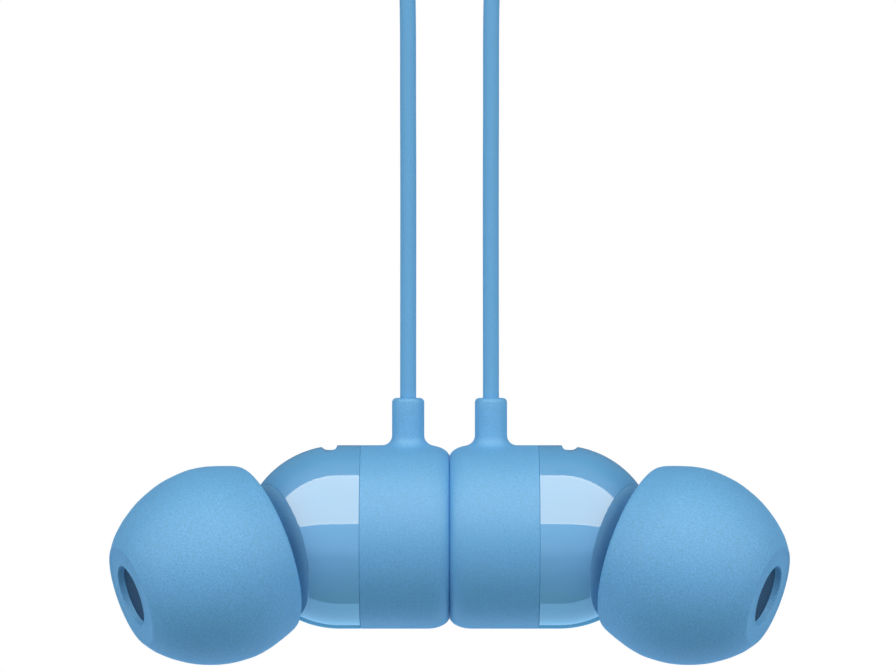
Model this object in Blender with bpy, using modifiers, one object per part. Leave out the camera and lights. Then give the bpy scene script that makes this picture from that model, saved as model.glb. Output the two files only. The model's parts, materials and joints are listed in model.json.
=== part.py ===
"""Neckband earphones: a soft neckband with an electronics module at each end, and two in-ear buds on thin cords,
clasped back to back by the magnets in their rear housings. The left cord carries an in-line remote.

Numbers are millimetres, and the helpers scale them to metres. +Z is up, the wearer faces -Y, and +X is the wearer's
left. The origin is on the inside of the neckband, at the middle of the back of the neck. Every sided piece is
written once, for +X: the right side hangs from an empty that mirrors it.
"""

import math

import bmesh
import bpy
from mathutils import Matrix, Vector

MM = 0.001
FIT = 0.2  # between pieces that slide in each other
TOUCH = 0.1  # between pieces that rest on each other

# The bud. Distances along its axis count from the clasp plane, where the two buds meet.
BUD_DIAMETER = 12.4
BUD_RADIUS = BUD_DIAMETER / 2
BUD_AT = (0.0, -120.0, -321.5)
CLASP_GAP = 0.3
BUD_WALL = 0.8
BACK_EDGE_LONG, BACK_EDGE_ACROSS = 1.5, 0.78
SEAM_AT = 6.1
DOME_FROM, DOME_LENGTH = 7.4, 6.67
LIP_RADIUS, LIP_WALL, LIP_LENGTH = 5.2, 0.6, 1.0
STALK_AT, STALK_RADIUS, STALK_TOP, STALK_BORE = 2.8, 1.09, 9.4, 0.62
FACE_DOWN, FACE_FORWARD, FACE_AT = 14.3, 23.8, 11.15  # the flat that the nozzle stands on
VENT_AT, VENT_RADIUS, VENT_DEPTH = 8.13, 0.67, 0.27

# The nozzle and the ear tip. Heights count along the nozzle from its root, inside the dome.
NOZZLE_ROOT = (10.87, -1.2, -0.1)
NOZZLE_DOWN, NOZZLE_FORWARD = 19.2, 20.3
NOZZLE_RADIUS, NOZZLE_BORE, NOZZLE_FOOT, NOZZLE_END = 2.5, 1.75, 0.2, 10.95
TIP_FRONT, TIP_RADIUS, TIP_WIDEST = 11.66, 6.62, 5.5
TIP_RING, TIP_HOLE, TIP_LIP = 3.5, 2.05, 0.46  # the flat front, its hole, and how thick it is there
TIP_RIM, TIP_RIM_RADIUS, TIP_WALL = 1.75, 5.5, 0.4
TIP_SLEEVE, TIP_SLEEVE_END = 3.4, 4.2

# The driver, on the bud's axis.
DRIVER_RADIUS, DRIVER_BACK, DRIVER_FRONT = 4.45, 6.0, 9.0

# The cords, from the module's strain relief to the bud's stalk.
CORD_DIAMETER = 1.1
CORD_START = 1.3  # the cord's solid begins this far past the relief, so that the bud can swing
CORD_ROUTE = [
    (38.0, -115.5, -127.0),
    (36.6, -116.8, -137.0),
    (33.9, -118.0, -152.0),
    (29.3, -119.1, -171.0),
    (24.8, -119.7, -187.4),
    (17.8, -119.85, -212.5),
    (10.8, -120.0, -237.6),
    (6.6, -120.0, -254.5),
    (4.0, -120.0, -270.0),
    (2.95, -120.0, -282.0),
    (2.8, -120.0, -294.0),
    (2.8, -120.0, -311.8),
]
CORD_POINTS = 38

# The in-line remote, centred on the fifth span of the left cord.
REMOTE_SIZE = (8.6, 6.2, 38.0)
REMOTE_CENTRE_POINT = 5
REMOTE_WALL = 0.9
REMOTE_RELIEF = 7.0
KEY_SIZE, KEY_PITCH = (4.8, 6.6), 9.6
MICROPHONE_AT = -15.5

# The modules: a rounded bar each, from the band's ferrule down to the cord's strain relief.
MODULE_SIZE = (13.0, 10.0, 44.0)
MODULE_CORNER, MODULE_EDGE, MODULE_WALL = 3.4, 0.9, 1.0
MODULE_DOWN = Vector((-0.13, -0.13, -0.983)).normalized()
FERRULE_LENGTH = 9.0
RELIEF_LENGTH, RELIEF_FORWARD = 8.0, 2.9
POWER_KEY_AT, POWER_KEY_SIZE = 6.0, (5.2, 8.4)
LED_AT = -3.0
PORT_SIZE, PORT_BACK, PORT_DEPTH = (8.94, 3.2), 1.9, 7.2

# The neckband: a silicone sleeve over a springy wire, split where it flexes.
BAND_RADIUS, BAND_BORE, WIRE_RADIUS = 2.7, 1.0, 0.7
BAND_ROUTE = [
    (0.0, BAND_RADIUS, 0.0),
    (31.0, -3.6, -1.2),
    (55.0, -22.0, -6.0),
    (67.0, -50.0, -15.0),
    (64.0, -76.0, -26.0),
    (56.0, -93.5, -39.0),
]
BAND_STRAIGHT = 14.0  # the last stretch runs straight into the module
FLEX_AT, FLEX_GAP = 42.0, 1.5
BAND_POINT_EVERY = 9.0


def clear_scene():
    for old in list(bpy.data.objects):
        bpy.data.objects.remove(old, do_unlink=True)


def collection(name):
    made = bpy.data.collections.new(name)
    bpy.context.scene.collection.children.link(made)
    return made


clear_scene()
PARTS = collection("neckband_earphones")
CUTTERS = collection("cutters")


def material(name, colour, roughness, metallic=0.0):
    made = bpy.data.materials.new(name)
    made.use_nodes = True
    shader = made.node_tree.nodes["Principled BSDF"]
    shader.inputs["Base Color"].default_value = (*colour, 1.0)
    shader.inputs["Roughness"].default_value = roughness
    shader.inputs["Metallic"].default_value = metallic
    return made


SOFT_TOUCH = material("soft_touch_plastic", (0.13, 0.36, 0.60), 0.55)
GLOSS = material("gloss_plastic", (0.12, 0.34, 0.58), 0.12)
TIP_SILICONE = material("tip_silicone", (0.15, 0.38, 0.64), 0.6)
BAND_SILICONE = material("band_silicone", (0.11, 0.31, 0.53), 0.62)
CORD_RUBBER = material("cord_rubber", (0.12, 0.33, 0.56), 0.5)
DARK_PLASTIC = material("dark_plastic", (0.03, 0.05, 0.09), 0.4)
BOARD = material("circuit_board", (0.02, 0.16, 0.07), 0.45)
STEEL = material("steel", (0.62, 0.63, 0.65), 0.3, 1.0)
WIRE = material("memory_wire", (0.55, 0.56, 0.58), 0.35, 1.0)
MAGNET = material("magnet", (0.5, 0.51, 0.53), 0.25, 1.0)
MESH = material("acoustic_mesh", (0.05, 0.08, 0.12), 0.5, 0.6)
FILM = material("diaphragm_film", (0.55, 0.45, 0.25), 0.3)
CELL = material("battery_wrap", (0.45, 0.47, 0.5), 0.35, 0.5)
LENS = material("led_lens", (0.85, 0.9, 0.95), 0.1)


def empty(name, parent=None, at=(0, 0, 0), turn=None, scale=(1, 1, 1)):
    """A frame that parts hang from. turn is a rotation matrix."""
    made = bpy.data.objects.new(name, None)
    made.parent = parent
    made.location = Vector(at) * MM
    if turn is not None:
        made.rotation_euler = turn.to_euler()
    made.scale = scale
    PARTS.objects.link(made)
    return made


def placed(name, data, finish, frame, at=(0, 0, 0)):
    """A part in the collection, or a hidden cutter where finish is None."""
    made = bpy.data.objects.new(name, data)
    made.parent = frame
    made.location = Vector(at) * MM
    if finish is None:
        made.hide_render = True
        made.display_type = "WIRE"
        CUTTERS.objects.link(made)
    else:
        data.materials.append(finish)
        PARTS.objects.link(made)
    return made


def turned(name, profile, finish, frame, steps=20, at=(0, 0, 0)):
    """profile is (radius, height) points, down the outer side, turned about local Z. It is a loop if off the axis."""
    mesh = bpy.data.meshes.new(name)
    edges = [(i, i + 1) for i in range(len(profile) - 1)]
    if profile[0][0] > 0:
        edges.append((len(profile) - 1, 0))
    mesh.from_pydata([(r * MM, 0, h * MM) for r, h in profile], edges, [])
    made = placed(name, mesh, finish, frame, at)
    screw = made.modifiers.new("turn", "SCREW")
    screw.axis = "Z"
    screw.angle = 2 * math.pi
    screw.steps = screw.render_steps = steps
    screw.use_merge_vertices = True
    screw.merge_threshold = 0.00001
    screw.use_smooth_shade = True
    return made


def rounded_box(name, size, finish, frame, at=(0, 0, 0), corner=0.0, edge=0.0, top_share=1.0, segments=3):
    """A box whose upright corners are rounded by corner and whose ends by edge. top_share narrows its top end."""
    made = bmesh.new()
    bmesh.ops.create_cube(made, size=1)
    bmesh.ops.scale(made, vec=Vector(size) * MM, verts=made.verts)
    if corner:
        upright = [e for e in made.edges if abs(e.verts[0].co.z - e.verts[1].co.z) > size[2] * MM / 2]
        bmesh.ops.bevel(made, geom=upright, offset=corner * MM, segments=segments, profile=0.5, affect="EDGES")
    if edge:
        ends = [e for e in made.edges if abs(e.verts[0].co.z - e.verts[1].co.z) < 1e-9]
        bmesh.ops.bevel(made, geom=ends, offset=edge * MM, segments=2, profile=0.5, affect="EDGES")
    top = [v for v in made.verts if v.co.z > 0]
    bmesh.ops.scale(made, vec=(top_share, top_share, 1), verts=top)
    bmesh.ops.recalc_face_normals(made, faces=made.faces)
    mesh = bpy.data.meshes.new(name)
    made.to_mesh(mesh)
    made.free()
    return placed(name, mesh, finish, frame, at)


def rod(name, radius, length, finish, frame, at=(0, 0, 0), along="Z", steps=16):
    """A cylinder centred on at, along local X, Y or Z."""
    made = turned(name, [(0, length / 2), (radius, length / 2), (radius, -length / 2), (0, -length / 2)],
                  finish, frame, steps, at)
    made.rotation_euler = {"X": (0, math.pi / 2, 0), "Y": (math.pi / 2, 0, 0), "Z": (0, 0, 0)}[along]
    return made


def boolean(part, operation, others):
    for other in others:
        modifier = part.modifiers.new(other.name, "BOOLEAN")
        modifier.operation = operation
        modifier.solver = "EXACT"
        modifier.object = other
    return part


def cut(part, *cutters):
    return boolean(part, "DIFFERENCE", cutters)


def join(part, *others):
    return boolean(part, "UNION", others)


def smooth_line(route, before=None, per_span=20):
    """Points on the Catmull-Rom curve through the route's own points. before steers its start."""
    points = [Vector(p) for p in route]
    points = [Vector(before) if before else 2 * points[0] - points[1], *points, 2 * points[-1] - points[-2]]
    line = []
    for before, start, end, after in zip(points, points[1:], points[2:], points[3:]):
        for k in range(per_span):
            t = k / per_span
            line.append(0.5 * (2 * start + (end - before) * t
                               + (2 * before - 5 * start + 4 * end - after) * t * t
                               + (3 * start - before - 3 * end + after) * t ** 3))
    line.append(points[-2])
    return line


def length_of(line):
    return sum((b - a).length for a, b in zip(line, line[1:]))


def point_at(line, distance):
    """The point this far along the line, and the line's direction there."""
    for a, b in zip(line, line[1:]):
        step = (b - a).length
        if distance <= step:
            return a.lerp(b, distance / step), (b - a).normalized()
        distance -= step
    return line[-1], (line[-1] - line[-2]).normalized()


def stretch(line, start, end, count):
    return [point_at(line, start + (end - start) * k / (count - 1))[0] for k in range(count)]


def tube(name, line, radius, finish, frame, origin=(0, 0, 0), bore=0.0):
    """A round tube along the line, solid or with a bore through it. origin is where its frame stands."""
    curve = bpy.data.curves.new(name, "CURVE")
    curve.dimensions = "3D"
    spline = curve.splines.new("POLY")
    spline.points.add(len(line) - 1)
    for point, place in zip(spline.points, line):
        point.co = (*((place - Vector(origin)) * MM), 1)
    curve.bevel_depth = radius * MM
    curve.bevel_resolution = 2
    curve.use_fill_caps = not bore
    made = placed(name, curve, finish, frame)
    if bore:
        wall = made.modifiers.new("wall", "SOLIDIFY")
        wall.thickness = (radius - bore) * MM
        wall.offset = -1
    return made


def aim(down, forward):
    """The direction outward from the bud, turned down and forward by these degrees."""
    down, forward = math.radians(down), math.radians(forward)
    return Vector((math.cos(forward) * math.cos(down), -math.sin(forward), -math.cos(forward) * math.sin(down)))


def arc(centre, along, across, start, end, count):
    """(radius, height) points on an ellipse's arc. Angles are in degrees from the radius axis towards +height."""
    angles = [math.radians(start + (end - start) * k / (count - 1)) for k in range(count)]
    return [(centre[0] + across * math.cos(a), centre[1] + along * math.sin(a)) for a in angles]


# ---------------------------------------------------------------- the buds


def rear_housing(side, bud, axis):
    """The matte cup with the clasp face, and the stalk that the cord enters."""
    back = CLASP_GAP / 2
    inner = BUD_RADIUS - BUD_WALL
    edge = arc((BUD_RADIUS - BACK_EDGE_ACROSS, back + BACK_EDGE_LONG), BACK_EDGE_LONG, BACK_EDGE_ACROSS, 0, -90, 4)
    rim = SEAM_AT - TOUCH / 2
    cup = turned(side + "_rear_housing", [
        (0, back + BUD_WALL), (inner - 0.5, back + BUD_WALL), (inner, back + BUD_WALL + 0.6), (inner, rim),
        (BUD_RADIUS, rim), *edge, (0, back),
    ], SOFT_TOUCH, axis, steps=24)
    stalk = turned(side + "_stalk_blank", [
        (0, STALK_TOP), (STALK_RADIUS - 0.3, STALK_TOP), (STALK_RADIUS - 0.05, STALK_TOP - 0.25),
        (STALK_RADIUS, STALK_TOP - 0.7), (STALK_RADIUS, 6.85), (STALK_RADIUS + 0.16, 6.5),
        (STALK_RADIUS + 0.6, 6.1), (STALK_RADIUS + 0.6, 5.6), (0, 5.6),
    ], None, bud, steps=14, at=(STALK_AT, 0, 0))
    bore = rod(side + "_stalk_bore", STALK_BORE, 6, None, bud, at=(STALK_AT, 0, STALK_TOP - 2.5), steps=10)
    cut(join(cup, stalk), bore)


def face_cutter(name, bud, distance):
    """A block whose lower face is the nozzle's flat, this far out along the flat's own direction."""
    facing = aim(FACE_DOWN, FACE_FORWARD)
    depth = 8.0
    block = rounded_box(name, (20, 20, depth), None, bud, at=facing * (distance + depth / 2))
    block.rotation_euler = facing.to_track_quat("Z", "Y").to_euler()
    return block


def front_housing(side, bud, axis, nozzle):
    """The glossy dome: hollow, with a lip that enters the rear housing, a flat for the nozzle, and a vent on top."""
    rim = SEAM_AT + TOUCH / 2
    lip_end = SEAM_AT - LIP_LENGTH
    dome = arc((0, DOME_FROM), DOME_LENGTH, BUD_RADIUS, 90, 0, 10)
    dome[0] = (0, DOME_FROM + DOME_LENGTH)
    shell = turned(side + "_front_housing", [
        *dome, (BUD_RADIUS, rim), (LIP_RADIUS, rim), (LIP_RADIUS, lip_end), (0, lip_end),
    ], GLOSS, axis, steps=24)
    inner = arc((0, DOME_FROM), DOME_LENGTH - BUD_WALL, BUD_RADIUS - BUD_WALL, 90, 0, 7)
    inner[0] = (0, DOME_FROM + DOME_LENGTH - BUD_WALL)
    hollow = turned(side + "_dome_hollow", [
        *inner, (BUD_RADIUS - BUD_WALL, rim + 0.6), (LIP_RADIUS - LIP_WALL, rim), (LIP_RADIUS - LIP_WALL, lip_end - 1),
        (0, lip_end - 1),
    ], None, axis, steps=20)
    cut(hollow, face_cutter(side + "_face_inside", bud, FACE_AT - BUD_WALL))
    hole = rod(side + "_nozzle_hole", NOZZLE_RADIUS + FIT, 6, None, nozzle, at=(0, 0, 1))
    groove = rod(side + "_vent_groove", VENT_RADIUS, 8, None, bud, along="Y", steps=14,
                 at=(VENT_AT, 0, BUD_RADIUS + VENT_RADIUS - VENT_DEPTH))
    vent = rod(side + "_vent_hole", 0.3, 3, None, bud, at=(VENT_AT, 0, BUD_RADIUS - 0.5), steps=8)
    cut(shell, face_cutter(side + "_face_flat", bud, FACE_AT), hollow, hole, groove, vent)


def ear_nozzle(side, nozzle):
    """The sound tube, with a barb that keeps the tip on, and the mesh in its mouth."""
    barb, seat = NOZZLE_RADIUS + 0.15, NOZZLE_END - 0.5
    turned(side + "_nozzle", [
        (NOZZLE_BORE + 0.5, NOZZLE_END), (NOZZLE_RADIUS, NOZZLE_END), (barb, NOZZLE_END - 0.7),
        (NOZZLE_RADIUS, NOZZLE_END - 1.7), (NOZZLE_RADIUS, NOZZLE_FOOT), (NOZZLE_BORE, NOZZLE_FOOT),
        (NOZZLE_BORE, seat), (NOZZLE_BORE + 0.5, seat),
    ], SOFT_TOUCH, nozzle, steps=16)
    rod(side + "_nozzle_mesh", NOZZLE_BORE + 0.35, 0.15, MESH, nozzle, at=(0, 0, NOZZLE_END - 0.15), steps=12)


def ear_tip(side, nozzle):
    """A double-walled silicone tip: a dome-shaped skirt, and the sleeve inside it that grips the nozzle."""
    nose = TIP_FRONT - TIP_WIDEST
    nose_start = math.degrees(math.acos(TIP_RING / TIP_RADIUS))
    outer = arc((0, TIP_WIDEST), nose / math.sin(math.radians(nose_start)), TIP_RADIUS, nose_start, 0, 6)
    rim_turn = math.degrees(math.acos(TIP_RIM_RADIUS / TIP_RADIUS))
    skirt = TIP_WIDEST - TIP_RIM
    outer += arc((0, TIP_WIDEST), skirt / math.sin(math.radians(rim_turn)), TIP_RADIUS, -12, -rim_turn, 3)
    inner = [(r - TIP_WALL, h + 0.1) for r, h in reversed(outer[3:])]
    web = TIP_FRONT - 1.7
    bore = NOZZLE_RADIUS + 0.35
    turned(side + "_ear_tip", [
        (TIP_HOLE, TIP_FRONT), *outer, *inner, (4.2, web), (TIP_SLEEVE, web),
        (TIP_SLEEVE, TIP_SLEEVE_END), (bore, TIP_SLEEVE_END), (bore, TIP_FRONT - TIP_LIP),
        (TIP_HOLE, TIP_FRONT - TIP_LIP),
    ], TIP_SILICONE, nozzle, steps=20)


def driver(side, axis):
    """The loudspeaker: a basket with its magnet, and the diaphragm with its voice coil in the gap round the magnet."""
    back, front, radius = DRIVER_BACK, DRIVER_FRONT, DRIVER_RADIUS
    turned(side + "_driver_basket", [
        (0, back + 0.6), (3.5, back + 0.6), (3.5, back + 1.8), (radius - 0.35, back + 1.8), (radius - 0.35, front),
        (radius, front), (radius, back + 1.4), (3.9, back + 1.4), (3.9, back), (0, back),
    ], DARK_PLASTIC, axis, steps=16)
    rod(side + "_driver_magnet", 2.6, 1.0, MAGNET, axis, at=(0, 0, back + 1.4), steps=14)
    film = front - 0.4
    turned(side + "_diaphragm", [
        (0, film + 0.45), (2.0, film + 0.3), (3.0, film + 0.05), (radius - 0.7, film), (radius - 0.7, film - 0.15),
        (3.2, film - 0.15), (3.2, back + 1.3), (2.9, back + 1.3), (2.9, film - 0.1), (1.9, film + 0.15),
        (0, film + 0.3),
    ], FILM, axis, steps=14)


def build_bud(side, swing):
    bud = empty(side + "_bud_frame", swing, Vector(BUD_AT) - Vector(CORD_ROUTE[0]))
    axis = empty(side + "_bud_axis", bud, turn=Matrix.Rotation(math.pi / 2, 3, "Y"))
    turn = aim(NOZZLE_DOWN, NOZZLE_FORWARD).to_track_quat("Z", "Y").to_matrix()
    nozzle = empty(side + "_nozzle_frame", bud, NOZZLE_ROOT, turn)
    rear_housing(side, bud, axis)
    rod(side + "_clasp_magnet", 4.0, 1.6, MAGNET, axis, at=(0, 0, CLASP_GAP / 2 + BUD_WALL + 1.1))
    front_housing(side, bud, axis, nozzle)
    rod(side + "_vent_screen", 0.7, 0.1, MESH, bud, at=(VENT_AT, 0, 5.0), steps=10)
    driver(side, axis)
    ear_nozzle(side, nozzle)
    ear_tip(side, nozzle)


# ---------------------------------------------------------------- the modules


def module_turn():
    """Local Z points up the module and local Y points back, towards the wearer."""
    up = -MODULE_DOWN
    back = (Vector((0, 1, 0)) - up * up.y).normalized()
    return Matrix((back.cross(up), back, up)).transposed()


def module_centre():
    exit_point = Vector(CORD_ROUTE[0])
    reach = MODULE_SIZE[2] / 2 + RELIEF_LENGTH
    return exit_point - MODULE_DOWN * reach + module_turn().col[1] * RELIEF_FORWARD


def band_end():
    return module_centre() - MODULE_DOWN * (MODULE_SIZE[2] / 2 + FERRULE_LENGTH)


def cover_pair(side, module, names, openings):
    """The module's two covers, which meet on its middle plane. openings has each cover's own cutters."""
    width, depth, height = MODULE_SIZE
    wall = MODULE_WALL
    hollow = rounded_box(side + "_module_hollow", (width - 2 * wall, depth - 2 * wall, height - 2 * wall), None,
                         module, corner=MODULE_CORNER - wall, top_share=0.84, segments=2)
    entry = rod(side + "_ferrule_hole", 2.6, 8, None, module, at=(0, 0, height / 2))
    leave = rod(side + "_relief_hole", 1.4, 8, None, module, at=(0, -RELIEF_FORWARD, -height / 2), steps=12)
    for name, facing, own in zip(names, (-1, 1), openings):
        cover = rounded_box(side + name, MODULE_SIZE, SOFT_TOUCH, module, corner=MODULE_CORNER, edge=MODULE_EDGE,
                            top_share=0.86)
        reach = depth + 2
        other_half = rounded_box(side + name + "_split", (width + 4, reach, height + 4), None, module,
                                 at=(0, -facing * (reach / 2 - TOUCH / 2), 0))
        cut(cover, other_half, hollow, entry, leave, *own)


def reliefs(side, module):
    """The ferrule where the band enters the module, and the tapered relief that the cord leaves by."""
    half = MODULE_SIZE[2] / 2
    turned(side + "_band_ferrule", [
        (BAND_RADIUS + 0.1, half + FERRULE_LENGTH), (BAND_RADIUS + 0.25, half + 6), (3.4, half + 2.5),
        (3.8, half + TOUCH), (2.4, half + TOUCH), (2.4, half - 2.2), (BAND_BORE, half - 2.2),
        (BAND_BORE, half + FERRULE_LENGTH),
    ], BAND_SILICONE, module, steps=16)
    turned(side + "_cord_relief", [
        (1.2, 2.2), (1.2, -TOUCH), (1.75, -TOUCH), (1.7, -0.9), (1.2, -3.0), (0.9, -5.5), (0.78, -RELIEF_LENGTH),
        (0.45, -RELIEF_LENGTH), (0.45, 2.2),
    ], CORD_RUBBER, module, steps=12, at=(0, -RELIEF_FORWARD, -half))


def key(name, frame, at, cap, front, wall_back, stem_end):
    """A push key from front to stem_end, with a flange behind the back of the wall. It travels along local +Y."""
    flange_front = wall_back + FIT
    body = rounded_box(name, (cap[0], cap[1], flange_front + 0.2 - front), SOFT_TOUCH, frame, corner=1.9, edge=0.25,
                       at=(at[0], (front + flange_front + 0.2) / 2, at[1]), segments=2)
    body.rotation_euler = (math.pi / 2, 0, 0)
    flange = rounded_box(name + "_flange", (cap[0] + 0.8, cap[1] + 0.8, 0.4), None, frame, corner=1.6, segments=2,
                         at=(at[0], flange_front + 0.2, at[1]))
    flange.rotation_euler = (math.pi / 2, 0, 0)
    stem = rod(name + "_stem", 0.9, stem_end - flange_front, None, frame, along="Y", steps=10,
               at=(at[0], (stem_end + flange_front) / 2, at[1]))
    return join(body, flange, stem)


def key_opening(name, frame, at, cap, face):
    hole = rounded_box(name, (cap[0] + 2 * FIT, cap[1] + 2 * FIT, 6), None, frame, at=(at[0], face, at[1]),
                       corner=1.9 + FIT, segments=2)
    hole.rotation_euler = (math.pi / 2, 0, 0)
    return hole


def left_electronics(module):
    """The main board with its radio can, the charging port, the power key and its switch, and the light's lens."""
    half, front = MODULE_SIZE[2] / 2, -MODULE_SIZE[1] / 2
    rounded_box("main_circuit_board", (8.8, 0.8, 33), BOARD, module, at=(0, -0.5, -1))
    rounded_box("radio_shield_can", (7.6, 1.6, 12), STEEL, module, at=(0, 1.0, 4))
    rod("power_dome_switch", 2.0, 1.0, STEEL, module, along="Y", at=(0, -1.6, POWER_KEY_AT), steps=14)
    key("power_button", module, (0, POWER_KEY_AT), POWER_KEY_SIZE, front - 0.1, front + 1.6, -2.6)
    rod("status_led_lens", 0.6, 1.3, LENS, module, along="Y", at=(0, front + 0.9, LED_AT), steps=12)

    port = rounded_box("usb_c_receptacle", (*PORT_SIZE, PORT_DEPTH), STEEL, module, corner=1.5,
                       at=(0, PORT_BACK, -half + 0.1 + PORT_DEPTH / 2))
    slot = rounded_box("port_slot", (PORT_SIZE[0] - 0.6, PORT_SIZE[1] - 0.6, PORT_DEPTH), None, module, corner=1.25,
                       at=(0, PORT_BACK, -half - 0.5 + PORT_DEPTH / 2))
    tongue = rounded_box("port_tongue", (6.7, 0.7, PORT_DEPTH - 0.8), None, module,
                         at=(0, PORT_BACK, -half + 0.6 + PORT_DEPTH / 2))
    join(cut(port, slot), tongue)
    bezel = rounded_box("usb_port_bezel", (11.0, 5.0, 0.5), DARK_PLASTIC, module, corner=2.2,
                        at=(0, PORT_BACK, -half - TOUCH - 0.25))
    mouth = rounded_box("bezel_mouth", (PORT_SIZE[0] + 0.2, PORT_SIZE[1] + 0.2, 4), None, module, corner=1.6,
                        at=(0, PORT_BACK, -half))
    cut(bezel, mouth)


def right_electronics(module):
    """The battery cell and its protection board."""
    rounded_box("battery_cell", (8.8, 5.6, 30), CELL, module, at=(0, 0.2, -2), corner=2.0, edge=0.5, segments=2)
    rounded_box("battery_protection_board", (7.6, 0.8, 3.4), BOARD, module, at=(0, 0.2, 15.6))


def build_module(side, arm, flex):
    module = empty(side + "_module_frame", arm, module_centre() - flex, module_turn())
    half, front = MODULE_SIZE[2] / 2, -MODULE_SIZE[1] / 2
    front_openings, back_openings = [], []
    if side == "left":
        front_openings = [
            key_opening("power_key_hole", module, (0, POWER_KEY_AT), POWER_KEY_SIZE, front),
            rod("led_hole", 0.75, 4, None, module, along="Y", at=(0, front, LED_AT), steps=12),
        ]
        back_openings = [rounded_box("port_hole", (PORT_SIZE[0] + 0.4, PORT_SIZE[1] + 0.4, 6), None, module,
                                     corner=1.7, at=(0, PORT_BACK, -half))]
        left_electronics(module)
    else:
        right_electronics(module)
    cover_pair(side, module, ("_module_front_cover", "_module_back_cover"),
               (front_openings + back_openings, back_openings))
    reliefs(side, module)


# ---------------------------------------------------------------- the remote


def build_remote(line, swing):
    """Two shells round a board with its microphone, three push keys on the front, and a relief for each cord."""
    centre, down = point_at(line, length_of(line[:REMOTE_CENTRE_POINT * 20 + 1]))
    back = (Vector((0, 1, 0)) + down * -down.y).normalized()
    turn = Matrix((back.cross(-down), back, -down)).transposed()
    remote = empty("remote_frame", swing, centre - line[0], turn)
    width, depth, height = REMOTE_SIZE
    wall, front = REMOTE_WALL, -depth / 2
    hollow = rounded_box("remote_hollow", (width - 2 * wall, depth - 2 * wall, height - 2 * wall), None, remote,
                         corner=0.7, segments=2)
    bore = rod("remote_bore", 0.9, height + 6, None, remote, steps=10)
    places = {"volume_up_button": KEY_PITCH, "play_button": 0.0, "volume_down_button": -KEY_PITCH}
    holes = [key_opening(name + "_hole", remote, (0, z), KEY_SIZE, front) for name, z in places.items()]
    sound = rod("microphone_hole", 0.5, 4, None, remote, along="Y", at=(0, front, MICROPHONE_AT), steps=10)
    for name, facing, own in (("remote_front_shell", -1, [*holes, sound]), ("remote_back_shell", 1, [])):
        shell = rounded_box(name, REMOTE_SIZE, SOFT_TOUCH, remote, corner=2.7, edge=0.8)
        reach = depth + 2
        other_half = rounded_box(name + "_split", (width + 4, reach, height + 4), None, remote,
                                 at=(0, -facing * (reach / 2 - TOUCH / 2), 0))
        cut(shell, other_half, hollow, bore, *own)
    for name, z in places.items():
        key(name, remote, (0, z), KEY_SIZE, front - 0.4, front + wall, -0.5)
    rounded_box("remote_circuit_board", (5.8, 0.8, 32), BOARD, remote, at=(0, 0.6, 0))
    rod("microphone_capsule", 1.1, 1.5, STEEL, remote, along="Y", at=(0, -0.9, MICROPHONE_AT), steps=12)
    for name, up in (("remote_upper_relief", 1), ("remote_lower_relief", -1)):
        relief = turned(name, [
            (0.62, REMOTE_RELIEF), (0.8, REMOTE_RELIEF), (0.95, 4.0), (1.5, 1.6), (1.9, TOUCH), (0.75, TOUCH),
            (0.75, -0.8), (0.62, -0.8),
        ], CORD_RUBBER, remote, steps=12, at=(0, 0, up * height / 2))
        relief.rotation_euler = (0, 0, 0) if up > 0 else (math.pi, 0, 0)


# ---------------------------------------------------------------- cords and band


def build_cords(line, left, right):
    """Each cord hangs from the point where it leaves its module's relief, and swings about it."""
    whole = length_of(line)
    middle = length_of(line[:REMOTE_CENTRE_POINT * 20 + 1])
    reach = REMOTE_SIZE[2] / 2 + REMOTE_RELIEF + 0.3
    half = CORD_POINTS // 2
    radius = CORD_DIAMETER / 2
    tube("left_upper_cord", stretch(line, CORD_START, middle - reach, half), radius, CORD_RUBBER, left, line[0])
    tube("left_lower_cord", stretch(line, middle + reach, whole, half), radius, CORD_RUBBER, left, line[0])
    tube("right_cord", stretch(line, CORD_START, whole, CORD_POINTS), radius, CORD_RUBBER, right, line[0])


def band_line():
    """The left half of the band's centre line, from the back of the neck to the module."""
    end = band_end()
    mirrored = (-BAND_ROUTE[1][0], *BAND_ROUTE[1][1:])
    return smooth_line([*BAND_ROUTE, end - MODULE_DOWN * BAND_STRAIGHT, end], before=mirrored)


def build_band(line, flex, left, right):
    """The sleeve and its wire in three pieces each: the back, and an arm on each side of it that flexes."""
    whole = length_of(line)
    near, far = FLEX_AT - FLEX_GAP / 2, FLEX_AT + FLEX_GAP / 2

    half_back = stretch(line, 0, near, 6)
    back = [Vector((-p.x, p.y, p.z)) for p in reversed(half_back[1:])] + half_back
    tube("neckband_sleeve_back", back, BAND_RADIUS, BAND_SILICONE, None, bore=BAND_BORE)
    tube("memory_wire_back", back, WIRE_RADIUS, WIRE, None)

    count = round((whole - far) / BAND_POINT_EVERY)
    arm = stretch(line, far, whole - 0.4, count)
    wire = [*arm, line[-1] + MODULE_DOWN * FERRULE_LENGTH]
    for side, frame in (("left", left), ("right", right)):
        tube("neckband_sleeve_" + side, arm, BAND_RADIUS, BAND_SILICONE, frame, flex, bore=BAND_BORE)
        tube("memory_wire_" + side, wire, WIRE_RADIUS, WIRE, frame, flex)


def main():
    """Each arm hangs from an empty where the band flexes, and each bud from one where its cord leaves the module."""
    band, cord = band_line(), smooth_line(CORD_ROUTE)
    flex = point_at(band, FLEX_AT)[0]
    arms, swings = [], []
    for side, mirror in (("left", 1), ("right", -1)):
        whole_side = empty(side + "_side", scale=(mirror, 1, 1))
        arms.append(empty(side + "_arm", whole_side, flex))
        swings.append(empty(side + "_swing", whole_side, cord[0]))
        build_module(side, arms[-1], flex)
        build_bud(side, swings[-1])
    build_remote(cord, swings[0])
    build_cords(cord, *swings)
    build_band(band, flex, *arms)


main()
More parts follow.
